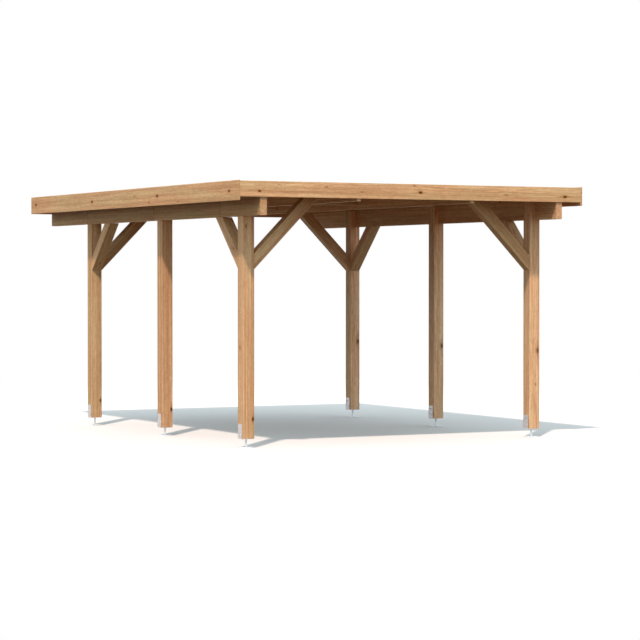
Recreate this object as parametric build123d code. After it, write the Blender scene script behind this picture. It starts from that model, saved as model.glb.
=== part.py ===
from build123d import *
from math import sqrt
import os

# Flat-roofed timber carport on six posts, in millimetres.
# X runs across the carport, Y from its front to its back and Z up.
# The origin lies at ground level under the middle of the roof.

# Roof outline
roof_width = 3860
roof_length = 5480
side_overhang = 244  # fascia's outer face to the posts' outer faces
front_overhang = 410  # fascia's outer face to the front posts' front faces
rear_overhang = 1106  # fascia's outer face to the rear posts' back faces

# Heights above the ground
foot_height = 90  # posts' lower ends
clear_height = 2225  # underside of the side beams, which is also the posts' shoulder

# Posts and braces
post_side = 120
notch_depth = 60  # wood cut from a post's outer side to seat the side beam
brace_side = 108
brace_reach = 513  # post's face to the lower end of a brace's head, measured under the side beam
post_arris = 3
brace_arris = 2

# Side beams and the roof frame that lies on them
beam_width = 70
beam_depth = 190
beam_end_gap = 27  # beam's rear end to the rear fascia
cross_beam_width = 80
cross_beam_depth = 100
joist_width = 42
joist_depth = 145
edge_plate_width = 60
edge_plate_setback = 5  # edge plate's inner face behind the side beam's inner face
timber_arris = 4
lap_gap = 0.3  # play on each side of a cross lap

# Roof skin
deck_thickness = 19
deck_gap = 2  # deck's and covering's edges to the fascias
covering_thickness = 3

# Fascias
fascia_thickness = 16
fascia_depth = 190
fascia_upstand = 15  # side and rear fascias' top above the roof covering
front_fascia_depth = 150
front_fascia_drop = 6  # front fascia's top below the side fascias' top
fascia_arris = 2

# Post shoes
base_plate_radius = 75
base_plate_thickness = 5
anchor_circle_radius = 56
anchor_hole_radius = 6
anchor_count = 4
anchor_first_angle = 45
rod_radius = 10
shoe_plate_thickness = 5
shoe_plate_width = 80
shoe_plate_height = 138  # above the post's lower end
shoe_corner_radius = 6
shoe_gap = 0.3  # play between a post's side and the shoe's plate
weld_leg = 4  # bead round the rod at both plates

row_names = ["front", "middle", "rear"]
side_signs = {"left": -1, "right": 1}

# Levels worked out from the heights and depths
beam_top = clear_height + beam_depth
frame_top = beam_top + cross_beam_depth
deck_top = frame_top + deck_thickness
covering_top = deck_top + covering_thickness
fascia_top = covering_top + fascia_upstand
front_fascia_top = fascia_top - front_fascia_drop
lap_level = beam_top + cross_beam_depth / 2

# Places worked out from the roof outline
inner_half_width = roof_width / 2 - fascia_thickness
inner_half_length = roof_length / 2 - fascia_thickness
post_x = roof_width / 2 - side_overhang - post_side / 2
front_post_y = -roof_length / 2 + front_overhang + post_side / 2
rear_post_y = roof_length / 2 - rear_overhang - post_side / 2
post_spacing = (rear_post_y - front_post_y) / (len(row_names) - 1)
post_ys = {name: front_post_y + row * post_spacing for row, name in enumerate(row_names)}
beam_inner_x = post_x + post_side / 2 - notch_depth
beam_x = beam_inner_x + beam_width / 2
edge_plate_x = beam_inner_x + edge_plate_setback + edge_plate_width / 2
joist_x = inner_half_width / 3  # the two joists divide the roof in thirds


def save(shape, node):
    """Write one piece to its own file."""
    export_step(shape, f"parts/{node}.step")


def timber_along(width, depth, length, arris):
    """Timber along Y on the XY plane, centred on the origin, with its long edges eased."""
    with BuildPart() as timber:
        with BuildSketch(Plane.XZ):
            Rectangle(width, depth, align=(Align.CENTER, Align.MIN))
        extrude(amount=length / 2, both=True)
        chamfer(timber.edges().filter_by(Axis.Y), arris)
    return timber.part


def on_side(right_hand_piece, side):
    """Piece modelled for the right side, or its mirror image for the left."""
    if side == "left":
        return mirror(right_hand_piece, about=Plane.YZ)
    return right_hand_piece


def post():
    """Right-hand post: its outer half ends at the shoulder, its inner half runs on as a tongue."""
    with BuildPart() as timber:
        with BuildSketch(Plane.XY.offset(foot_height)):
            Rectangle(post_side, post_side)
        extrude(amount=beam_top - foot_height)
        chamfer(timber.edges().filter_by(Axis.Z), post_arris)
        with BuildSketch(Plane.XY.offset(clear_height)):
            with Locations((post_side / 2 - notch_depth, 0)):
                Rectangle(notch_depth, post_side, align=(Align.MIN, Align.CENTER))
        extrude(amount=beam_depth, mode=Mode.SUBTRACT)
    return timber.part


def brace(reach):
    """Brace at 45 degrees in the corner at the origin, between a post at X = 0 and a timber at Z = 0.

    A brace wider than the post is mitred past the post's corners, where it would meet the next face's brace.
    """
    mitre = brace_side * sqrt(2)
    half_post = post_side / 2
    slope = Axis((0, 0, 0), (1, 0, 1))
    with BuildPart() as timber:
        with BuildSketch(Plane.XZ):
            with BuildLine():
                Polyline((0, -reach), (reach, 0), (reach - mitre, 0), (0, mitre - reach), close=True)
            make_face()
        extrude(amount=brace_side / 2, both=True)
        chamfer(timber.edges().filter_by(slope), brace_arris)
        with BuildSketch():
            with BuildLine():
                Polyline(
                    (0, -half_post),
                    (reach, -half_post - reach),
                    (reach, half_post + reach),
                    (0, half_post),
                    close=True,
                )
            make_face()
        extrude(amount=reach, both=True, mode=Mode.INTERSECT)
    return timber.part


def post_shoe():
    """Welded steel shoe: round anchored plate, rod, and a forked plate that holds the post's foot."""
    fork_top = foot_height + shoe_plate_height
    fork_bottom = foot_height - shoe_plate_thickness
    fork_half_width = post_side / 2 + shoe_gap
    outer_half_width = fork_half_width + shoe_plate_thickness
    with BuildPart() as shoe:
        with BuildSketch(Plane.XZ):
            with BuildLine():
                Polyline(
                    (0, 0),
                    (base_plate_radius, 0),
                    (base_plate_radius, base_plate_thickness),
                    (rod_radius + weld_leg, base_plate_thickness),
                    (rod_radius, base_plate_thickness + weld_leg),
                    (rod_radius, fork_bottom - weld_leg),
                    (rod_radius + weld_leg, fork_bottom),
                    (0, fork_bottom),
                    close=True,
                )
            make_face()
        revolve(axis=Axis.Z)
        with BuildSketch():
            with PolarLocations(anchor_circle_radius, anchor_count, start_angle=anchor_first_angle):
                Circle(anchor_hole_radius)
        extrude(amount=base_plate_thickness, mode=Mode.SUBTRACT)
        with BuildSketch(Plane.XZ):
            with BuildLine():
                Polyline(
                    (-outer_half_width, fork_top),
                    (-outer_half_width, fork_bottom),
                    (outer_half_width, fork_bottom),
                    (outer_half_width, fork_top),
                    (fork_half_width, fork_top),
                    (fork_half_width, foot_height),
                    (-fork_half_width, foot_height),
                    (-fork_half_width, fork_top),
                    close=True,
                )
            make_face()
        extrude(amount=shoe_plate_width / 2, both=True)
        plate_corners = shoe.edges().filter_by(Axis.X).group_by(Axis.Z)[-1]
        fillet(plate_corners, shoe_corner_radius)
        bends = shoe.edges().filter_by(Axis.Y).group_by(Axis.Z)[0]
        fillet(bends, shoe_plate_thickness - shoe_gap)
    return shoe.part


def slot(width, length, bottom, top):
    """Block that a cross lap cuts from a timber, centred on the Z axis."""
    return Pos(0, 0, bottom) * Box(width, length, top - bottom, align=(Align.CENTER, Align.CENTER, Align.MIN))


def lap_from_above(timber, width):
    """Open a timber that runs along, from its top down to the lap's level, at each cross-beam."""
    cut = slot(width, cross_beam_width + 2 * lap_gap, lap_level, frame_top)
    for y in post_ys.values():
        timber = timber - Pos(0, y, 0) * cut
    return timber


def cross_beam():
    """Timber across the carport from fascia to fascia, lapped over the edge plates and joists."""
    along = timber_along(cross_beam_width, cross_beam_depth, 2 * inner_half_width, timber_arris)
    timber = Pos(0, 0, beam_top) * Rot(0, 0, 90) * along
    for x, width in ((joist_x, joist_width), (edge_plate_x, edge_plate_width)):
        cut = slot(width + 2 * lap_gap, cross_beam_width, beam_top, lap_level)
        for sign in side_signs.values():
            timber = timber - Pos(sign * x, 0, 0) * cut
    return timber


def roof_joist():
    """Timber between the front and rear fascias, lapped under the cross-beams."""
    timber = timber_along(joist_width, joist_depth, 2 * inner_half_length, timber_arris)
    return lap_from_above(Pos(0, 0, frame_top - joist_depth) * timber, joist_width)


def edge_plate():
    """Timber on a side beam that carries the roof's edge, lapped under the cross-beams."""
    timber = timber_along(edge_plate_width, cross_beam_depth, 2 * inner_half_length, timber_arris)
    return lap_from_above(Pos(0, 0, beam_top) * timber, edge_plate_width)


def side_beam():
    """Main beam from the front fascia to just short of the rear one."""
    length = 2 * inner_half_length - beam_end_gap
    timber = timber_along(beam_width, beam_depth, length, timber_arris)
    return Pos(0, -beam_end_gap / 2, clear_height) * timber


def roof_sheet(bottom, thickness):
    """Flat layer of the roof inside the fascias."""
    width = 2 * (inner_half_width - deck_gap)
    length = 2 * (inner_half_length - deck_gap)
    return Pos(0, 0, bottom) * Box(width, length, thickness, align=(Align.CENTER, Align.CENTER, Align.MIN))


def side_fascia():
    """Board along the whole side of the roof."""
    board = timber_along(fascia_thickness, fascia_depth, roof_length, fascia_arris)
    return Pos(roof_width / 2 - fascia_thickness / 2, 0, fascia_top - fascia_depth) * board


def end_fascia(top, depth, y_sign):
    """Board across one end of the roof, between the side fascias."""
    board = timber_along(fascia_thickness, depth, 2 * inner_half_width, fascia_arris)
    y = y_sign * (roof_length / 2 - fascia_thickness / 2)
    return Pos(0, y, top - depth) * Rot(0, 0, 90) * board


def build_posts():
    """Six posts, each in its steel shoe."""
    for side, sign in side_signs.items():
        for row, y in post_ys.items():
            save(Pos(sign * post_x, y, 0) * on_side(post(), side), f"post_{row}_{side}")
            save(Pos(sign * post_x, y, 0) * post_shoe(), f"post_shoe_{row}_{side}")


def build_braces():
    """Two braces at each corner post: one to the cross-beam and one to the side beam."""
    across = brace(brace_reach + beam_depth)
    along = brace(brace_reach)
    inner_face_x = post_x - post_side / 2
    for side, sign in side_signs.items():
        turned_in = 180 if side == "right" else 0
        for row, y, toward_middle in (("front", front_post_y, 1), ("rear", rear_post_y, -1)):
            across_place = Pos(sign * inner_face_x, y, beam_top) * Rot(0, 0, turned_in)
            along_place = Pos(sign * post_x, y + toward_middle * post_side / 2, clear_height)
            save(across_place * across, f"brace_across_{row}_{side}")
            save(along_place * Rot(0, 0, toward_middle * 90) * along, f"brace_along_{row}_{side}")


def build_frame():
    """Side beams, edge plates, cross-beams and joists."""
    for side, sign in side_signs.items():
        save(Pos(sign * beam_x, 0, 0) * side_beam(), f"side_beam_{side}")
        save(Pos(sign * edge_plate_x, 0, 0) * edge_plate(), f"edge_plate_{side}")
        save(Pos(sign * joist_x, 0, 0) * roof_joist(), f"roof_joist_{side}")
    for row, y in post_ys.items():
        save(Pos(0, y, 0) * cross_beam(), f"cross_beam_{row}")


def build_roof():
    """Deck, covering and the fascias round them."""
    save(roof_sheet(frame_top, deck_thickness), "roof_deck")
    save(roof_sheet(deck_top, covering_thickness), "roof_covering")
    for side in side_signs:
        save(on_side(side_fascia(), side), f"fascia_{side}")
    save(end_fascia(front_fascia_top, front_fascia_depth, -1), "fascia_front")
    save(end_fascia(fascia_top, fascia_depth, 1), "fascia_rear")


os.makedirs("parts", exist_ok=True)
build_posts()
build_braces()
build_frame()
build_roof()
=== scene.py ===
"""Looks of a flat-roofed timber carport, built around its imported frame. All sizes are in metres."""

import math
import random

import bmesh
import bpy
from mathutils import Matrix, Vector


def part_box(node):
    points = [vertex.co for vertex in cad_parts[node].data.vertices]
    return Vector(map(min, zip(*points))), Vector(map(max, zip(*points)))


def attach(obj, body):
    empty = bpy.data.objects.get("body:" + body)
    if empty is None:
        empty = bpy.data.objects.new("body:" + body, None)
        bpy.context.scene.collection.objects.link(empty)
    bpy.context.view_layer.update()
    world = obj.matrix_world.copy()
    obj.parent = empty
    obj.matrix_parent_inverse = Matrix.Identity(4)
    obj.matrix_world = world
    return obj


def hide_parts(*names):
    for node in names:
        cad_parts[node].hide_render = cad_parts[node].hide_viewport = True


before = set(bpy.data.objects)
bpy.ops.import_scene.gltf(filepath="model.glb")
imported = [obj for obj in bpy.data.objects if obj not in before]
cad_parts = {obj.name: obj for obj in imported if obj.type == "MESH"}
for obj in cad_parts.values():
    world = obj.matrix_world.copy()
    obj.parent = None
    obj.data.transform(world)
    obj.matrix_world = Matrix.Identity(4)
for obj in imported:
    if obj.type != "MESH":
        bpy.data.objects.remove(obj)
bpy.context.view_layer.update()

# Camera
CAMERA_PLACE = Vector((-11.308, -22.253, 1.639))
CAMERA_HEADING = 0.4832  # from +Y towards +X, in radians
CAMERA_TILT = -0.0185
CAMERA_LENS = 129.96  # millimetres on a 36 mm sensor

# Light
SUN_DIRECTION = Vector((0.47, 0.55, -1.0))
SUN_STRENGTH = 3.15
SUN_ANGLE = math.radians(2.5)
SUN_COLOUR = (1.0, 0.86, 0.78)
SKY_COLOUR = (0.96, 1.15, 1.26)
SKY_STRENGTH = 1.0

# Floor
FLOOR_RADIUS = 400.0
FLOOR_DROP = 0.0005  # below the base plates, so that the two never share a plane
FLOOR_FADE = (5.0, 12.0)  # distances from the middle between which it runs into the white surround

# Fixings: head sizes, then their places on the timbers and shoes
SCREW_HEAD_RADIUS = 0.0045
SCREW_HEAD_HEIGHT = 0.0002  # nearly flush
DISC_HEAD_RADIUS = 0.0075
DISC_HEAD_HEIGHT = 0.0016
BOLT_HEAD_WIDTH = 0.013
BOLT_HEAD_HEIGHT = 0.0055
WASHER_RADIUS = 0.011
WASHER_THICKNESS = 0.0016
FASCIA_SCREW_INSET = 0.022  # from the edges of the timber behind the fascia
FASCIA_SCREW_RISE = 0.025  # from the lower edge of the part of a timber that an end fascia covers
BRACE_SCREW_OFFSET = 0.024  # to either side of a brace's middle
BRACE_SCREW_INSET = 0.075  # from a brace's end
BEAM_SCREW_HEIGHTS = (0.045, 0.095, 0.145)  # above the side beam's lower edge
BEAM_SCREW_OFFSET = 0.028
SHOE_SCREW_HEIGHTS = (0.038, 0.1)  # above the post's lower end
SHOE_SCREW_OFFSET = 0.018
FORK_DEPTH = 0.05  # down from a shoe's top, where it has its side plates only

# Finishes
WOOD_SPECULAR = 0.12
WOOD_RELIEF = 0.0006
RINGS_PER_METRE = 185.0
ROD_TOP = 0.09  # the shoes' rods and base plates, below this height, are brighter than their forks

# Roof boards and felt
BOARD_PITCH = 0.121
BOARD_GAP = 0.0008
BOARD_BEVEL = 0.005
FELT_STRIPS = 4
FELT_LAP = 0.08
FELT_UPSTAND = 0.009

# Brightness of the timbers' faces that look across and of those that look up: partly the wood's own tone,
# partly painted light and shade, set for how light falls on each face
FACE_TONES_WITH_PAINTED_LIGHT = {
    "fascia_left": (0.86, 0.94),
    "fascia_front": (0.93, 0.96),
    "post_front_left": (1.0, 0.95),
    "post_middle_left": (0.86, 0.95),
    "post_rear_left": (0.8, 0.89),
    "post_front_right": (1.01, 1.01),
    "post_middle_right": (0.95, 1.14),
    "post_rear_right": (0.84, 1.22),
    "side_beam_left": (0.66, 0.97),
    "side_beam_right": (0.95, 1.14),
    "brace_across_front_left": (0.94, 0.94),
    "brace_across_front_right": (0.86, 0.9),
    "brace_along_front_left": (0.9, 0.94),
}

# Painted shade across a post's faces, darker toward its rear and its right as if its arrises were rounded:
# the direction in which it darkens, in the post's axes, with the darkening per metre as its length
POST_PAINTED_SHADE = (0.7, 1.0, 0.0)
NO_PAINTED_SHADE = (0.0, 0.0, 0.0)

# Layers of noise in the wood: scale across the grain, scale along it, detail
GRAIN = {
    "slow": (5.0, 0.8, 1.0),
    "quick": (38.0, 2.6, 2.0),
    "broad": (22.0, 0.35, 2.0),
    "narrow": (80.0, 1.5, 3.0),
    "fleck": (70.0, 11.0, 3.0),
    "dash": (150.0, 34.0, 2.0),
    "fibre": (900.0, 26.0, 2.0),
    "patch": (9.0, 0.9, 2.0),
}

# How far each layer lightens and darkens the wood, as a share of its brightness
STREAKS = {"years": 0.09, "broad": 0.09, "narrow": 0.1, "fleck": 0.07, "dash": 0.07, "fibre": 0.05}

# Glued finger joints between the lengths that make up a side beam: their places along Y in metres,
# the fingers' length and half their pitch
FINGER_JOINTS = {"side_beam_left": (1.6, -0.22, -1.84), "side_beam_right": (1.6, -0.34, -2.28)}
FINGER_LENGTH = 0.012
FINGER_HALF_PITCH = 0.002

# Knots that show on a post: the face, the distance from its middle line, the height, radius and strength
POST_KNOTS = {
    "post_front_left": [
        ("front", 0.045, 0.278, 0.014, 1.0),
        ("front", -0.029, 2.129, 0.012, 0.5),
        ("left", 0.009, 0.963, 0.01, 0.8),
    ],
    "post_middle_left": [("front", 0.045, 0.276, 0.013, 1.0)],
    "post_rear_left": [
        ("front", 0.045, 0.279, 0.012, 0.9),
        ("left", 0.017, 1.45, 0.009, 0.6),
    ],
    "post_front_right": [
        ("front", 0.036, 0.888, 0.017, 0.8),
        ("front", -0.066, 0.545, 0.006, 0.8),
        ("front", 0.012, 0.543, 0.006, 0.8),
    ],
    "post_middle_right": [("front", 0.037, 0.886, 0.017, 0.8)],
    "post_rear_right": [("front", 0.038, 0.888, 0.017, 0.85)],
}

# Knots that show on the fascias: the place along the board, the height, radius and strength
LEFT_FASCIA_KNOTS = [
    (2.588, 2.462, 0.017, 1.0),
    (0.896, 2.448, 0.017, 1.0),
    (-0.842, 2.458, 0.017, 1.0),
    (-2.531, 2.453, 0.015, 0.9),
    (1.389, 2.429, 0.01, 0.35),
    (-0.265, 2.476, 0.012, 0.4),
    (-0.637, 2.4, 0.012, 0.5),
    (-1.358, 2.388, 0.01, 0.4),
]
FRONT_FASCIA_KNOTS = [
    (-1.712, 2.45, 0.011, 1.0),
    (0.037, 2.465, 0.0145, 1.0),
    (1.722, 2.449, 0.015, 1.0),
    (1.02, 2.457, 0.011, 0.35),
    (-1.502, 2.515, 0.008, 0.4),
    (-0.998, 2.502, 0.008, 0.4),
    (-0.608, 2.461, 0.01, 0.4),
    (-0.031, 2.53, 0.008, 0.5),
]

KNOT_SPACING = {"fascia": 0.9, "frame": 0.6, "brace": 0.4}

ROWS = ("front", "middle", "rear")
SIDES = {"left": -1, "right": 1}
UP = Vector((0, 0, 1))


def srgb(red, green, blue):
    """Linear colour with alpha from display values of 0 to 255."""
    def linear(value):
        share = value / 255
        return share / 12.92 if share <= 0.04045 else ((share + 0.055) / 1.055) ** 2.4
    return linear(red), linear(green), linear(blue), 1.0


# ---------------------------------------------------------------- node building


class Nodes:
    """Short calls that add shader nodes to one tree and link them."""

    def __init__(self, tree):
        self.tree = tree

    def put(self, socket, value):
        """Link a socket to another, or write a value into it."""
        if isinstance(value, bpy.types.NodeSocket):
            self.tree.links.new(value, socket)
        elif value is not None:
            socket.default_value = value

    def add(self, kind, **settings):
        node = self.tree.nodes.new(kind)
        for name, value in settings.items():
            setattr(node, name, value)
        return node

    def math(self, operation, a, b=None, c=None):
        node = self.add("ShaderNodeMath", operation=operation)
        for socket, value in zip(node.inputs, (a, b, c)):
            self.put(socket, value)
        return node.outputs[0]

    def vector(self, operation, a, b=None):
        node = self.add("ShaderNodeVectorMath", operation=operation)
        self.put(node.inputs[0], a)
        self.put(node.inputs[1], b)
        return node.outputs["Value" if operation in ("LENGTH", "DOT_PRODUCT") else "Vector"]

    def split(self, vector):
        node = self.add("ShaderNodeSeparateXYZ")
        self.put(node.inputs[0], vector)
        return node.outputs

    def join(self, x, y, z):
        node = self.add("ShaderNodeCombineXYZ")
        for socket, value in zip(node.inputs, (x, y, z)):
            self.put(socket, value)
        return node.outputs[0]

    def ease(self, value, low, high, from_value=0.0, to_value=1.0):
        """Smooth step from from_value at low to to_value at high."""
        node = self.add("ShaderNodeMapRange", interpolation_type="SMOOTHSTEP")
        for socket, number in zip(node.inputs, (value, low, high, from_value, to_value)):
            self.put(socket, number)
        return node.outputs[0]

    def noise(self, place, scale, detail=2.0, roughness=0.5):
        node = self.add("ShaderNodeTexNoise")
        self.put(node.inputs["Vector"], place)
        self.put(node.inputs["Scale"], scale)
        self.put(node.inputs["Detail"], detail)
        self.put(node.inputs["Roughness"], roughness)
        return node.outputs["Fac"]

    def blend(self, share, a, b, way="MIX"):
        node = self.add("ShaderNodeMix", data_type="RGBA", blend_type=way)
        for socket, value in ((node.inputs[0], share), (node.inputs[6], a), (node.inputs[7], b)):
            self.put(socket, value)
        return node.outputs[2]

    def group(self, tree, **values):
        node = self.add("ShaderNodeGroup", node_tree=tree)
        for name, value in values.items():
            self.put(node.inputs[name], value)
        return node.outputs


def new_group(name, inputs, outputs):
    """Empty node group with its sockets. Returns its tree, input sockets and output node."""
    tree = bpy.data.node_groups.new(name, "ShaderNodeTree")
    for socket_name, kind in inputs:
        tree.interface.new_socket(socket_name, in_out="INPUT", socket_type=f"NodeSocket{kind}")
    for socket_name, kind in outputs:
        tree.interface.new_socket(socket_name, in_out="OUTPUT", socket_type=f"NodeSocket{kind}")
    return tree, tree.nodes.new("NodeGroupInput").outputs, tree.nodes.new("NodeGroupOutput")


def new_material(name, specular=0.4):
    """Material with one Principled shader. Returns it, its Nodes and the shader."""
    material = bpy.data.materials.new(name)
    material.use_nodes = True
    n = Nodes(material.node_tree)
    shader = material.node_tree.nodes["Principled BSDF"]
    shader.inputs["Specular IOR Level"].default_value = specular
    return material, n, shader


def add_bump(n, shader, height, distance, strength=1.0):
    """Surface relief from a height of 0 to 1, which stands for distance."""
    bump = n.add("ShaderNodeBump")
    n.put(bump.inputs["Height"], height)
    n.put(bump.inputs["Distance"], distance)
    n.put(bump.inputs["Strength"], strength)
    n.put(shader.inputs["Normal"], bump.outputs["Normal"])


# ---------------------------------------------------------------- wood


def make_knot_group():
    """One branch stub: how much a point belongs to it, and how far it bends the rings round it."""
    tree, given, out = new_group(
        "knot",
        [("Place", "Vector"), ("Centre", "Vector"), ("Radius", "Float"), ("Strength", "Float")],
        [("Core", "Float"), ("Halo", "Float"), ("Shift", "Float")],
    )
    n = Nodes(tree)
    offset = n.vector("SUBTRACT", given["Place"], given["Centre"])
    offset = n.vector("MULTIPLY", offset, (1.2, 1.2, 0.6))
    wobble = n.math("MULTIPLY", n.noise(given["Place"], 90.0, 1.0), 0.7)
    distance = n.math("DIVIDE", n.vector("LENGTH", offset), given["Radius"])
    distance = n.math("SUBTRACT", n.math("ADD", distance, wobble), 0.35)
    core = n.ease(distance, 0.75, 1.1, 1.0, 0.0)
    tail = n.vector("LENGTH", n.vector("MULTIPLY", offset, (1.7, 1.7, 0.3)))
    tail = n.ease(n.math("ADD", n.math("DIVIDE", tail, given["Radius"]), wobble), 0.7, 1.9, 0.8, 0.0)
    halo = n.math("MAXIMUM", n.ease(distance, 0.9, 2.4, 1.0, 0.0), tail)
    bend = n.math("EXPONENT", n.math("MULTIPLY", n.math("POWER", distance, 2.0), -0.12))
    bend = n.math("MULTIPLY", bend, n.math("MULTIPLY", given["Radius"], 1.3))
    n.put(out.inputs["Core"], n.math("MULTIPLY", core, given["Strength"]))
    n.put(out.inputs["Halo"], n.math("MULTIPLY", halo, given["Strength"]))
    n.put(out.inputs["Shift"], bend)
    return tree


def make_timber_group():
    """Softwood in a member's own axes: X and Y across the section, Z along the grain, in metres."""
    tree, given, out = new_group(
        "timber",
        [
            *((socket, "Vector") for socket in ("Place", "Half", "Pith", "Heart")),
            *((socket, "Float") for socket in ("Seed", "Tone", "End", "Core", "Halo", "Shift")),
        ],
        [("Colour", "Color"), ("Roughness", "Float"), ("Height", "Float")],
    )
    n = Nodes(tree)
    shift = n.math("MULTIPLY", given["Seed"], 7.31)
    place = n.vector("ADD", given["Place"], n.join(shift, shift, shift))

    grain = {}
    for name, (across, along, detail) in GRAIN.items():
        grain[name] = n.noise(n.vector("MULTIPLY", place, (across, across, along)), 1.0, detail)

    # Growth rings round the pith, which wanders along the member
    from_pith = n.vector("SUBTRACT", given["Place"], given["Pith"])
    radius = n.vector("LENGTH", n.vector("MULTIPLY", from_pith, (1.0, 1.0, 0.0)))
    radius = n.math("ADD", radius, n.math("MULTIPLY", grain["slow"], 0.035))
    radius = n.math("ADD", radius, n.math("MULTIPLY", grain["quick"], 0.006))
    radius = n.math("ADD", radius, given["Shift"])
    ring = n.math("FRACT", n.math("MULTIPLY", radius, RINGS_PER_METRE))
    late = n.math("MULTIPLY", n.ease(ring, 0.35, 0.9), n.ease(ring, 0.9, 1.0, 1.0, 0.0))

    grain["years"] = n.noise(n.join(n.math("MULTIPLY", radius, 60.0), shift, 0.0), 1.0, 2.0)

    # Early and late wood, then years of wide and narrow growth, streaks, flecks and fibres
    yellow, pink, brown = srgb(210, 169, 124), srgb(210, 159, 116), srgb(172, 120, 78)
    colour = n.blend(n.ease(grain["patch"], 0.4, 0.6), yellow, pink)
    colour = n.blend(n.math("MULTIPLY", late, 0.42), colour, brown)
    streak = 1.0
    for name, reach in STREAKS.items():
        layer = n.ease(grain[name], 0.34, 0.66, 1.0 - reach, 1.0 + reach)
        streak = n.math("MULTIPLY", streak, layer)
    tint = n.join(*(n.math("POWER", streak, power) for power in (0.85, 1.15, 1.4)))
    colour = n.blend(1.0, colour, tint, "MULTIPLY")
    # Painted shade across the section, darker along the given way, multiplied into the face tone, which
    # itself holds painted light and shade
    painted_shade = n.vector("DOT_PRODUCT", given["Place"], given["Heart"])
    tone = n.math("MULTIPLY", given["Tone"], n.math("SUBTRACT", 1.0, painted_shade))
    colour = n.blend(1.0, colour, n.join(tone, tone, n.math("POWER", tone, 1.4)), "MULTIPLY")

    # Knots, with resin-dark rims
    colour = n.blend(n.math("MULTIPLY", given["Halo"], 0.5), colour, srgb(158, 98, 46))
    colour = n.blend(given["Core"], colour, srgb(98, 54, 10))

    # End grain drinks more stain, and worn arrises show less of it
    colour = n.blend(n.math("MULTIPLY", given["End"], 0.25), colour, srgb(146, 108, 72))
    x, y = n.split(given["Place"])[:2]
    half_x, half_y = n.split(given["Half"])[:2]
    from_arris = n.math(
        "MAXIMUM",
        n.math("SUBTRACT", half_x, n.math("ABSOLUTE", x)),
        n.math("SUBTRACT", half_y, n.math("ABSOLUTE", y)),
    )
    ragged = n.math("ADD", from_arris, n.math("MULTIPLY", grain["narrow"], 0.004))
    worn = n.ease(ragged, 0.002, 0.007, 1.0, 0.0)
    colour = n.blend(n.math("MULTIPLY", worn, 0.3), colour, srgb(230, 196, 154))

    rough = n.math("ADD", n.ease(late, 0.0, 1.0, 0.62, 0.5), n.ease(grain["fibre"], 0.2, 0.8, -0.05, 0.05))
    height = n.math("ADD", n.math("MULTIPLY", late, 0.45), n.math("MULTIPLY", grain["fibre"], 0.35))
    height = n.math("ADD", height, n.math("MULTIPLY", given["Core"], 0.5))
    n.put(out.inputs["Colour"], colour)
    n.put(out.inputs["Roughness"], rough)
    n.put(out.inputs["Height"], height)
    return tree


class Member:
    """A timber's own axes: across, up and along the grain, from the middle of its section."""

    def __init__(self, middle, up, along, half):
        self.middle, self.up, self.along, self.half = middle, up, along, half
        self.across = up.cross(along)

    @classmethod
    def upright(cls, node):
        """Member whose edges lie along the frame's axes, read from its CAD node."""
        low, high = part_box(node)
        middle, size = (low + high) / 2, high - low
        axis = max(range(3), key=lambda index: size[index])
        along = Vector([float(index == axis) for index in range(3)])
        up = Vector((0, 1, 0)) if axis == 2 else UP
        member = cls(middle, up, along, None)
        member.half = Vector([abs(size.dot(way)) / 2 for way in (member.across, up, along)])
        return member

    @classmethod
    def brace(cls, node, toward):
        """Member at 45 degrees whose head lies toward that horizontal direction from its foot."""
        low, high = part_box(node)
        middle, size = (low + high) / 2, high - low
        side = UP.cross(toward)
        width = abs(size.dot(side))
        along = (toward + UP).normalized()
        up = (UP - toward).normalized()
        half = Vector((width / 2, width / 2, size.z / math.sqrt(2)))
        return cls(middle + up * width / 2, up, along, half)

    def place_of(self, point):
        """A point of the frame in the member's own axes."""
        offset = Vector(point) - self.middle
        return Vector((offset.dot(self.across), offset.dot(self.up), offset.dot(self.along)))

    def point_at(self, across, up, along):
        """A place in the member's own axes as a point of the frame."""
        return self.middle + self.across * across + self.up * up + self.along * along


def random_knots(member, rng, spacing):
    """Knots in loose whorls along a member, each on one of its faces: place, radius and strength."""
    knots = []
    along = -member.half.z + rng.uniform(0.1, spacing)
    while along < member.half.z - 0.05:
        face = rng.choice((-1, 1))
        if rng.random() * (member.half.x + member.half.y) < member.half.x:
            place = Vector((rng.uniform(-0.8, 0.8) * member.half.x, face * member.half.y, along))
        else:
            place = Vector((face * member.half.x, rng.uniform(-0.8, 0.8) * member.half.y, along))
        knots.append((place, rng.uniform(0.004, 0.011), rng.uniform(0.35, 0.9)))
        along += spacing * rng.uniform(0.5, 1.5)
    return knots


def finish_wood(n, shader, wood, colour):
    """Colour, gloss and relief of a wood, from the timber group's outputs."""
    n.put(shader.inputs["Base Color"], colour)
    n.put(shader.inputs["Roughness"], wood["Roughness"])
    add_bump(n, shader, wood["Height"], WOOD_RELIEF)


def finger_joints(n, place, joints, seed):
    """Seed that changes at each glued joint of a member, and the joints' dark seams."""
    up, along = n.split(place)[1:]
    finger = n.math("PINGPONG", up, FINGER_HALF_PITCH)
    tip = n.math("MULTIPLY", finger, FINGER_LENGTH / FINGER_HALF_PITCH)
    seam = 0.0
    for joint in joints:
        past = n.math("SUBTRACT", along, joint)
        seed = n.math("ADD", seed, n.math("GREATER_THAN", past, 0.0))
        off_seam = n.math("ABSOLUTE", n.math("SUBTRACT", past, tip))
        seam = n.math("MAXIMUM", seam, n.ease(off_seam, 0.002, 0.004, 1.0, 0.0))
    return seed, seam


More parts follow.
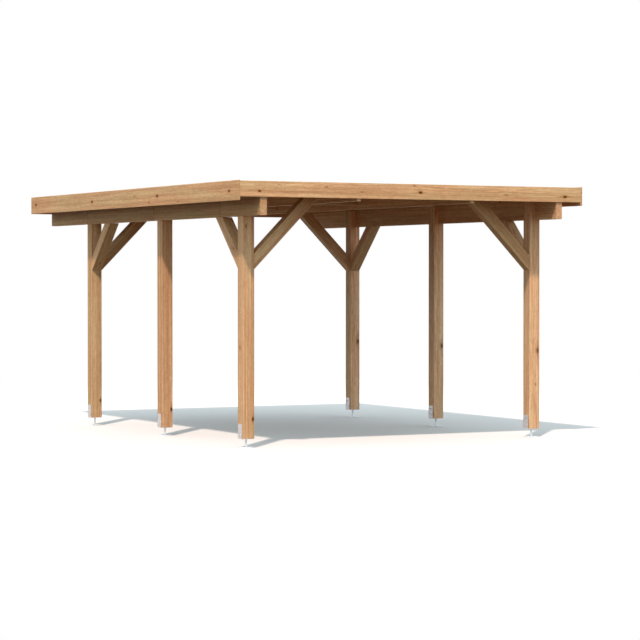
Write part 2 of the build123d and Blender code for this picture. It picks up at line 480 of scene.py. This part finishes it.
def timber_material(name, member, rng, knots, tones_with_painted_light=None, painted_shade_way=NO_PAINTED_SHADE, joints=()):
    """Softwood that follows one member's grain.

    The face tones give the brightness of the faces that look across and of those that look up: partly the
    wood's own tone and partly painted light and shade, set for how light falls on each face. The shade way
    is painted shade across the section: it points, in the member's axes, to where the faces darken, and
    its length is the darkening per metre. joints are the places of glued finger joints along the member.
    """
    # Listed face tones hold painted light and shade, face by face; random ones are the wood's own tone
    side_tone_with_painted_light, face_tone_with_painted_light = tones_with_painted_light or (rng.uniform(0.94, 1.06), rng.uniform(0.94, 1.06))
    material, n, shader = new_material(name, specular=WOOD_SPECULAR)
    coordinates = n.add("ShaderNodeTexCoord")
    mapping = n.add("ShaderNodeMapping")
    rotation = Matrix((member.across, member.up, member.along))
    n.put(mapping.inputs["Vector"], coordinates.outputs["Object"])
    n.put(mapping.inputs["Rotation"], rotation.to_euler("XYZ"))
    n.put(mapping.inputs["Location"], -(rotation @ member.middle))
    place = mapping.outputs[0]

    core, halo, shift = 0.0, 0.0, 0.0
    for centre, radius, strength in knots:
        knot = n.group(KNOT, Place=place, Centre=centre, Radius=radius, Strength=strength)
        core = n.math("MAXIMUM", core, knot["Core"])
        halo = n.math("MAXIMUM", halo, knot["Halo"])
        shift = n.math("ADD", shift, knot["Shift"])

    normal = n.add("ShaderNodeNewGeometry").outputs["True Normal"]
    end = n.math("ABSOLUTE", n.vector("DOT_PRODUCT", normal, member.along))
    sideways = n.math("ABSOLUTE", n.vector("DOT_PRODUCT", normal, member.across))
    pith = Vector((rng.uniform(-0.09, 0.09), rng.choice((-1, 1)) * rng.uniform(0.02, 0.14), 0.0))
    seed, seam = rng.uniform(1, 20), None
    if joints:
        seed, seam = finger_joints(n, place, joints, seed)
    wood = n.group(
        TIMBER, Place=place, Half=member.half, Pith=pith, Heart=painted_shade_way, Seed=seed,
        Tone=n.ease(sideways, 0.4, 0.9, face_tone_with_painted_light, side_tone_with_painted_light), End=n.ease(end, 0.8, 0.95),
        Core=core, Halo=halo, Shift=shift,
    )
    colour = wood["Colour"]
    if joints:
        colour = n.blend(n.math("MULTIPLY", seam, 0.85), colour, srgb(84, 54, 30))
    finish_wood(n, shader, wood, colour)
    return material


def board_material():
    """Softwood boards side by side along Y, each with a tree and a tone of its own."""
    low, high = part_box("roof_deck")
    material, n, shader = new_material("roof_board_wood", specular=WOOD_SPECULAR)
    point = n.add("ShaderNodeTexCoord").outputs["Object"]
    x, y, z = n.split(point)
    pitch = (high.y - low.y) / board_count()
    steps = n.math("DIVIDE", n.math("SUBTRACT", y, low.y), pitch)
    index = n.math("FLOOR", steps)
    chance = n.add("ShaderNodeTexWhiteNoise", noise_dimensions="1D")
    n.put(chance.inputs["W"], index)
    red, green, blue = n.split(chance.outputs["Color"])
    across = n.math("MULTIPLY", n.math("SUBTRACT", n.math("SUBTRACT", steps, index), 0.5), pitch)
    up = n.math("SUBTRACT", z, low.z)
    place = n.join(across, up, n.math("ADD", x, n.math("MULTIPLY", red, 9.0)))
    pith = n.join(n.ease(green, 0, 1, -0.05, 0.05), n.ease(blue, 0, 1, -0.12, -0.03), 0.0)
    wood = n.group(
        TIMBER, Place=place, Half=(1.0, 1.0, 1.0), Pith=pith, Heart=NO_PAINTED_SHADE,
        Seed=n.math("MULTIPLY", blue, 20.0),
        Tone=n.ease(green, 0, 1, 0.86, 1.04), End=0.0, Core=0.0, Halo=0.0, Shift=0.0,
    )
    finish_wood(n, shader, wood, wood["Colour"])
    return material


# ---------------------------------------------------------------- steel and felt


def steel_material():
    """Hot-dip galvanised steel: faint spangle and dull patches."""
    material, n, shader = new_material("galvanised_steel")
    point = n.add("ShaderNodeTexCoord").outputs["Object"]
    cells = n.add("ShaderNodeTexVoronoi")
    n.put(cells.inputs["Vector"], point)
    n.put(cells.inputs["Scale"], 110.0)
    spangle = n.split(cells.outputs["Color"])[0]
    dull = n.noise(point, 28.0, 3.0)
    fine = n.noise(point, 700.0, 2.0)
    colour = n.blend(n.ease(spangle, 0.0, 1.0), srgb(198, 195, 197), srgb(213, 210, 212))
    colour = n.blend(n.ease(dull, 0.45, 0.7, 0.0, 0.5), colour, srgb(186, 184, 186))
    foot = n.ease(n.split(point)[2], ROD_TOP - 0.01, ROD_TOP, 1.0, 0.0)
    colour = n.blend(foot, colour, srgb(238, 239, 240))
    rough = n.math("ADD", n.ease(spangle, 0, 1, 0.34, 0.46), n.ease(dull, 0.4, 0.7, 0.0, 0.12))
    n.put(shader.inputs["Base Color"], colour)
    n.put(shader.inputs["Roughness"], rough)
    n.put(shader.inputs["Metallic"], n.ease(foot, 0.0, 1.0, 0.95, 0.05))
    add_bump(n, shader, n.math("ADD", n.math("MULTIPLY", spangle, 0.5), fine), 0.0001)
    return material


def screw_material():
    """Yellow-passivated, zinc-plated fixings with a dull coat."""
    material, n, shader = new_material("zinc_plated")
    point = n.add("ShaderNodeTexCoord").outputs["Object"]
    mottle = n.noise(point, 350.0, 2.0)
    n.put(shader.inputs["Base Color"], n.blend(mottle, srgb(158, 118, 76), srgb(176, 136, 92)))
    n.put(shader.inputs["Roughness"], n.ease(mottle, 0.2, 0.8, 0.38, 0.52))
    n.put(shader.inputs["Metallic"], 0.35)
    add_bump(n, shader, mottle, 0.00005)
    return material


def felt_material():
    """Dark roofing felt with mineral granules and patches of dust."""
    material, n, shader = new_material("roofing_felt", specular=0.12)
    point = n.add("ShaderNodeTexCoord").outputs["Object"]
    granule = n.add("ShaderNodeTexVoronoi")
    n.put(granule.inputs["Vector"], point)
    n.put(granule.inputs["Scale"], 520.0)
    shade = n.split(granule.outputs["Color"])[0]
    dust = n.noise(n.vector("MULTIPLY", point, (1.0, 0.4, 0.0)), 2.6, 6.0, 0.6)
    colour = n.blend(shade, srgb(54, 55, 57), srgb(86, 88, 91))
    colour = n.blend(n.ease(dust, 0.42, 0.75, 0.0, 0.22), colour, srgb(112, 109, 103))
    n.put(shader.inputs["Base Color"], colour)
    n.put(shader.inputs["Roughness"], n.ease(shade, 0, 1, 0.78, 0.95))
    add_bump(n, shader, granule.outputs["Distance"], 0.0012)
    return material


# ---------------------------------------------------------------- meshes


def mesh_piece(name, build, material):
    """Closed mesh piece that build fills, carried by the frame."""
    mesh = bmesh.new()
    build(mesh)
    bmesh.ops.recalc_face_normals(mesh, faces=mesh.faces)
    data = bpy.data.meshes.new(name)
    mesh.to_mesh(data)
    mesh.free()
    piece = bpy.data.objects.new(name, data)
    bpy.context.scene.collection.objects.link(piece)
    data.materials.append(material)
    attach(piece, "root")
    return piece


def prism(mesh, outline, start, end):
    """Solid with a flat outline, a list of places in 3-D near start, carried from start to end."""
    step = end - start
    first = [mesh.verts.new(point) for point in outline]
    last = [mesh.verts.new(point + step) for point in outline]
    mesh.faces.new(first)
    mesh.faces.new(list(reversed(last)))
    for index in range(len(outline)):
        following = (index + 1) % len(outline)
        mesh.faces.new((first[index], last[index], last[following], first[following]))


def lathe_stack(mesh, place, axis, profile, corners, turn=0.0, lobes=None):
    """Solid round an axis from rings of (radius, height), each with that many corners."""
    side = axis.orthogonal().normalized()
    other = axis.cross(side)
    rings = []
    for ring_index, (radius, height) in enumerate(profile):
        ring = []
        for corner in range(corners):
            angle = turn + 2 * math.pi * corner / corners
            reach = radius
            if lobes and ring_index in lobes:
                reach *= 1 + 0.22 * math.cos(6 * angle)
            around = side * math.cos(angle) + other * math.sin(angle)
            ring.append(mesh.verts.new(place + around * reach + axis * height))
        rings.append(ring)
    for lower, upper in zip(rings, rings[1:]):
        for corner in range(corners):
            following = (corner + 1) % corners
            mesh.faces.new((lower[corner], lower[following], upper[following], upper[corner]))
    mesh.faces.new(list(reversed(rings[0])))
    mesh.faces.new(rings[-1])


def screw_head(mesh, place, axis, radius=SCREW_HEAD_RADIUS, height=SCREW_HEAD_HEIGHT):
    """Flat screw head with a rounded rim and a six-lobed drive sunk into it."""
    drive = radius * 0.42
    profile = [
        (radius, -0.001), (radius, height * 0.4), (radius * 0.93, height * 0.85), (radius * 0.8, height),
        (drive, height), (drive * 0.92, height * 0.3), (drive * 0.5, height * 0.2),
    ]
    lathe_stack(mesh, place, axis, profile, 24, lobes=(4, 5))


def hex_bolt(mesh, place, axis, turn):
    """Hexagon head with chamfered corners on a washer."""
    washer = [
        (WASHER_RADIUS, -0.0005), (WASHER_RADIUS, WASHER_THICKNESS * 0.7),
        (WASHER_RADIUS * 0.95, WASHER_THICKNESS), (WASHER_RADIUS * 0.5, WASHER_THICKNESS),
    ]
    lathe_stack(mesh, place, axis, washer, 28)
    corner = BOLT_HEAD_WIDTH / math.sqrt(3)
    head = [
        (corner, 0.0), (corner, BOLT_HEAD_HEIGHT * 0.82),
        (corner * 0.88, BOLT_HEAD_HEIGHT), (corner * 0.3, BOLT_HEAD_HEIGHT * 1.04),
    ]
    lathe_stack(mesh, place + axis * WASHER_THICKNESS * 0.9, axis, head, 6, turn)


def board_count():
    """Number of whole boards in the deck."""
    low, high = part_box("roof_deck")
    return round((high.y - low.y) / BOARD_PITCH)


def build_boards(mesh):
    """Boards across the roof, side by side, with bevelled lower edges that show as V-joints."""
    low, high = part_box("roof_deck")
    pitch = (high.y - low.y) / board_count()
    for index in range(board_count()):
        near = low.y + index * pitch + BOARD_GAP / 2
        far = near + pitch - BOARD_GAP
        outline = [
            (near, high.z - BOARD_BEVEL / 4), (near, low.z + BOARD_BEVEL), (near + BOARD_BEVEL, low.z),
            (far - BOARD_BEVEL, low.z), (far, low.z + BOARD_BEVEL), (far, high.z - BOARD_BEVEL / 4),
            (far - BOARD_BEVEL / 4, high.z), (near + BOARD_BEVEL / 4, high.z),
        ]
        places = [Vector((low.x, y, z)) for y, z in outline]
        prism(mesh, places, Vector((low.x, 0, 0)), Vector((high.x, 0, 0)))


def build_felt(mesh):
    """Felt in lapped strips along the roof, turned up against the fascias."""
    low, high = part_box("roof_covering")
    thickness = high.z - low.z
    strip = (high.x - low.x + FELT_LAP * (FELT_STRIPS - 1)) / FELT_STRIPS
    rng = random.Random(11)

    # Height of the felt's top over the deck, across the roof
    cove = [(0.0, FELT_UPSTAND), (0.003, FELT_UPSTAND), (0.0036, 0.004), (0.0055, 0.0015), (0.009, 0.0)]
    across = [(low.x + inset, rise) for inset, rise in cove]
    for index in range(1, FELT_STRIPS):
        start = low.x + index * (strip - FELT_LAP)
        lap = [(start, 0.0), (start + 0.001, thickness), (start + FELT_LAP / 2, thickness * 1.05),
               (start + FELT_LAP, thickness * 0.9), (start + FELT_LAP + 0.02, 0.0004)]
        across += lap + [(start + FELT_LAP + 0.3, 0.0), (start + FELT_LAP + 0.6, 0.0)]
    across += [(high.x - inset, rise) for inset, rise in reversed(cove)]
    across.sort()
    along = [(low.y + inset, rise) for inset, rise in cove]
    steps = 60
    along += [(low.y + (high.y - low.y) * step / steps, 0.0) for step in range(1, steps)]
    along += [(high.y - inset, rise) for inset, rise in reversed(cove)]
    columns, rows = len(across), len(along)

    top, bottom = [], []
    for row, (y, rise_y) in enumerate(along):
        for column, (x, rise_x) in enumerate(across):
            ripple = rng.uniform(0.0, 0.0007) if 4 < row < rows - 5 and 4 < column < columns - 5 else 0.0
            z = high.z + max(rise_x, rise_y) + ripple
            top.append(mesh.verts.new((x, y, z)))
            bottom.append(mesh.verts.new((x, y, low.z)))
    for row in range(rows - 1):
        for column in range(columns - 1):
            a = row * columns + column
            b, c, d = a + 1, a + columns + 1, a + columns
            mesh.faces.new((top[a], top[b], top[c], top[d]))
            mesh.faces.new((bottom[d], bottom[c], bottom[b], bottom[a]))
    rim = list(range(columns))
    rim += [row * columns + columns - 1 for row in range(1, rows)]
    rim += [(rows - 1) * columns + column for column in range(columns - 2, -1, -1)]
    rim += [row * columns for row in range(rows - 2, 0, -1)]
    for here, following in zip(rim, rim[1:] + rim[:1]):
        mesh.faces.new((top[here], bottom[here], bottom[following], top[following]))


# ---------------------------------------------------------------- dressing the frame

KNOT = make_knot_group()
TIMBER = make_timber_group()
STEEL = steel_material()
ZINC = screw_material()


def dress(node, material):
    """Give a CAD node its finish."""
    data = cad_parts[node].data
    data.materials.clear()
    data.materials.append(material)


def post_knot(name, member, face, offset, height, radius, strength):
    """A listed knot in its post's own axes."""
    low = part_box(name)[0]
    middle = member.middle
    if face == "front":
        point = (middle.x + offset, low.y, height)
    else:
        point = (low.x, middle.y + offset, height)
    return member.place_of(point), radius, strength


def fascia_knots(name, member, rng):
    """The knots that are listed for a fascia, and random ones where none are."""
    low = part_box(name)[0]
    if name == "fascia_left":
        points = [((low.x, along, height), size) for along, height, *size in LEFT_FASCIA_KNOTS]
    elif name == "fascia_front":
        points = [((along, low.y, height), size) for along, height, *size in FRONT_FASCIA_KNOTS]
    else:
        return random_knots(member, rng, KNOT_SPACING["fascia"])
    return [(member.place_of(point), *size) for point, size in points]


def dress_fascias():
    """Fascia boards, with the knots that show most."""
    for index, name in enumerate(("fascia_left", "fascia_right", "fascia_front", "fascia_rear")):
        rng = random.Random(100 + index)
        member = Member.upright(name)
        knots = fascia_knots(name, member, rng)
        dress(name, timber_material(f"wood_{name}", member, rng, knots, FACE_TONES_WITH_PAINTED_LIGHT.get(name)))


def off_listed_faces(member, place):
    """Whether a place lies off a post's front and left faces, whose knots are listed."""
    return min(place.x + member.half.x, place.y + member.half.y) > 0


def dress_frame():
    """Posts, beams, plates, joists and braces."""
    uprights = [f"post_{row}_{side}" for side in SIDES for row in ROWS]
    uprights += [f"{kind}_{side}" for kind in ("side_beam", "edge_plate", "roof_joist") for side in SIDES]
    uprights += [f"cross_beam_{row}" for row in ROWS]
    for index, name in enumerate(uprights):
        rng = random.Random(200 + index)
        member = Member.upright(name)
        knots = random_knots(member, rng, KNOT_SPACING["frame"])
        if name in POST_KNOTS:
            knots = [knot for knot in knots if off_listed_faces(member, knot[0])]
            knots += [post_knot(name, member, *knot) for knot in POST_KNOTS[name]]
        # Posts get a painted shade across their faces, darker toward the rear and right
        painted_shade_way = POST_PAINTED_SHADE if name.startswith("post_") else NO_PAINTED_SHADE
        joints = [y - member.middle.y for y in FINGER_JOINTS.get(name, ())]
        if joints:
            knots = []  # lengths free of knots make up the glued beams
        dress(name, timber_material(f"wood_{name}", member, rng, knots, FACE_TONES_WITH_PAINTED_LIGHT.get(name), painted_shade_way, joints))
    for index, (name, member) in enumerate(braces().items()):
        rng = random.Random(300 + index)
        knots = random_knots(member, rng, KNOT_SPACING["brace"])
        dress(name, timber_material(f"wood_{name}", member, rng, knots, FACE_TONES_WITH_PAINTED_LIGHT.get(name)))


def braces():
    """Each brace's member by its node's name."""
    found = {}
    for side, sign in SIDES.items():
        for row, toward_middle in (("front", 1), ("rear", -1)):
            across, along = f"brace_across_{row}_{side}", f"brace_along_{row}_{side}"
            found[across] = Member.brace(across, Vector((-sign, 0, 0)))
            found[along] = Member.brace(along, Vector((0, toward_middle, 0)))
    return found


def dress_roof():
    """Boards and felt in place of the plain deck and covering."""
    boards = mesh_piece("roof_boards", build_boards, board_material())
    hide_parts("roof_deck")
    felt = mesh_piece("roof_felt", build_felt, felt_material())
    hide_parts("roof_covering")


def dress_shoes():
    """Galvanised shoes and the coach screws through their side plates."""
    for side in SIDES:
        for index, row in enumerate(ROWS):
            shoe = f"post_shoe_{row}_{side}"
            dress(shoe, STEEL)
            low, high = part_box(shoe)
            post_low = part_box(f"post_{row}_{side}")[0]
            middle_y = (low.y + high.y) / 2
            plate = frame_plate_x(shoe)

            def build(mesh):
                for face, axis in ((plate[0], Vector((-1, 0, 0))), (plate[1], Vector((1, 0, 0)))):
                    for step, height in enumerate(SHOE_SCREW_HEIGHTS):
                        y = middle_y + (SHOE_SCREW_OFFSET if step else -SHOE_SCREW_OFFSET)
                        place = Vector((face, y, post_low.z + height))
                        hex_bolt(mesh, place, axis, 0.4 * step + 0.3 * index)

            mesh_piece(f"shoe_screws_{row}_{side}", build, STEEL)


def frame_plate_x(shoe):
    """Outer faces of a shoe's side plates, which stand above its round base."""
    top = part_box(shoe)[1].z
    places = [vertex.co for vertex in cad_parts[shoe].data.vertices]
    plates = [place.x for place in places if place.z > top - FORK_DEPTH]
    return min(plates), max(plates)


def add_fascia_screws():
    """Pairs of screws where the fascias cross the ends of the roof's timbers."""
    def build_side(mesh, fascia, sign):
        low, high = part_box(fascia)
        face = high.x if sign > 0 else low.x
        for row in ROWS:
            beam_low, beam_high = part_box(f"cross_beam_{row}")
            for height in (beam_low.z + FASCIA_SCREW_INSET, beam_high.z - FASCIA_SCREW_INSET):
                place = Vector((face, (beam_low.y + beam_high.y) / 2, height))
                screw_head(mesh, place, Vector((sign, 0, 0)))

    def build_end(mesh, fascia, sign):
        low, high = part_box(fascia)
        face = high.y if sign > 0 else low.y
        for timber in ("edge_plate_left", "roof_joist_left", "roof_joist_right", "edge_plate_right"):
            timber_low, timber_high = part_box(timber)
            bottom = max(timber_low.z, low.z)
            for height in (bottom + FASCIA_SCREW_RISE, timber_high.z - FASCIA_SCREW_INSET):
                place = Vector(((timber_low.x + timber_high.x) / 2, face, height))
                screw_head(mesh, place, Vector((0, sign, 0)))

    for side, sign in SIDES.items():
        name = f"fascia_{side}"
        mesh_piece(f"screws_{name}", lambda mesh: build_side(mesh, name, sign), ZINC)
    for end, sign in (("front", -1), ("rear", 1)):
        name = f"fascia_{end}"
        mesh_piece(f"screws_{name}", lambda mesh: build_end(mesh, name, sign), ZINC)


def add_brace_screws():
    """Two screws near each end of every brace, driven through its lower face."""
    for name, member in braces().items():
        def build(mesh):
            for end in (-1, 1):
                for across in (-BRACE_SCREW_OFFSET, BRACE_SCREW_OFFSET):
                    along = end * (member.half.z - BRACE_SCREW_INSET)
                    place = member.point_at(across, -member.half.y, along)
                    screw_head(mesh, place, -member.up, DISC_HEAD_RADIUS, DISC_HEAD_HEIGHT)
        mesh_piece(f"screws_{name}", build, ZINC)


def add_beam_screws():
    """Screws through the posts' tongues into the side beams, on the inner side."""
    for side, sign in SIDES.items():
        beam_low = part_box(f"side_beam_{side}")[0]
        for row in ROWS:
            low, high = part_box(f"post_{row}_{side}")
            face = low.x if sign > 0 else high.x

            def build(mesh):
                for step, height in enumerate(BEAM_SCREW_HEIGHTS):
                    offset = BEAM_SCREW_OFFSET if step % 2 else -BEAM_SCREW_OFFSET
                    y = (low.y + high.y) / 2 + offset
                    place = Vector((face, y, beam_low.z + height))
                    screw_head(mesh, place, Vector((-sign, 0, 0)), DISC_HEAD_RADIUS, DISC_HEAD_HEIGHT)

            mesh_piece(f"screws_beam_{row}_{side}", build, ZINC)


# ---------------------------------------------------------------- surroundings


def directly_seen(n):
    """1 for camera rays, reflections and rays through glass, 0 for light that surfaces gather."""
    path = n.add("ShaderNodeLightPath").outputs
    seen = n.math("MAXIMUM", path["Is Camera Ray"], path["Is Glossy Ray"])
    return n.math("MAXIMUM", seen, path["Is Transmission Ray"])


def add_floor():
    """Wide pale floor that runs into a white surround and throws back little light."""
    mesh = bmesh.new()
    bmesh.ops.create_circle(mesh, cap_ends=True, segments=96, radius=FLOOR_RADIUS)
    data = bpy.data.meshes.new("floor")
    mesh.to_mesh(data)
    mesh.free()
    floor = bpy.data.objects.new("floor", data)
    floor.location.z = -FLOOR_DROP
    bpy.context.scene.collection.objects.link(floor)
    material = bpy.data.materials.new("floor")
    material.use_nodes = True
    material.node_tree.nodes.clear()
    n = Nodes(material.node_tree)
    seen = directly_seen(n)
    matt = n.add("ShaderNodeBsdfDiffuse")
    thrown_back, pale = srgb(91, 79, 64), srgb(222, 216, 211)
    n.put(matt.inputs["Color"], n.blend(seen, thrown_back, pale))
    glow = n.add("ShaderNodeEmission")
    point = n.add("ShaderNodeTexCoord").outputs["Object"]
    distance = n.vector("LENGTH", point)
    far = n.math("MULTIPLY", n.ease(distance, *FLOOR_FADE), seen)
    mix = n.add("ShaderNodeMixShader")
    for socket, value in zip(mix.inputs, (far, matt.outputs[0], glow.outputs[0])):
        n.put(socket, value)
    out = n.add("ShaderNodeOutputMaterial")
    n.put(out.inputs["Surface"], mix.outputs[0])
    data.materials.append(material)


def add_light():
    """White surround, cool sky light and one soft sun from the front left."""
    scene = bpy.context.scene
    world = bpy.data.worlds.new("surround")
    scene.world = world
    world.use_nodes = True
    n = Nodes(world.node_tree)
    back = world.node_tree.nodes["Background"]
    n.put(back.inputs["Color"], n.blend(directly_seen(n), (*SKY_COLOUR, 1.0), (1.0, 1.0, 1.0, 1.0)))
    n.put(back.inputs["Strength"], SKY_STRENGTH)
    sun = bpy.data.lights.new("sun", "SUN")
    sun.energy = SUN_STRENGTH
    sun.angle = SUN_ANGLE
    sun.color = SUN_COLOUR
    lamp = bpy.data.objects.new("sun", sun)
    lamp.rotation_euler = SUN_DIRECTION.to_track_quat("-Z", "Y").to_euler()
    scene.collection.objects.link(lamp)


def add_camera():
    """Eye-level camera in front, to the left."""
    camera = bpy.data.cameras.new("camera")
    camera.lens = CAMERA_LENS
    camera.sensor_width = 36.0
    camera.clip_end = 1000.0
    holder = bpy.data.objects.new("camera", camera)
    holder.location = CAMERA_PLACE
    holder.rotation_euler = (math.pi / 2 + CAMERA_TILT, 0.0, -CAMERA_HEADING)
    scene = bpy.context.scene
    scene.collection.objects.link(holder)
    scene.camera = holder
    scene.view_settings.view_transform = "Standard"


dress_fascias()
dress_frame()
dress_roof()
dress_shoes()
add_fascia_screws()
add_brace_screws()
add_beam_screws()
add_floor()
add_light()
add_camera()
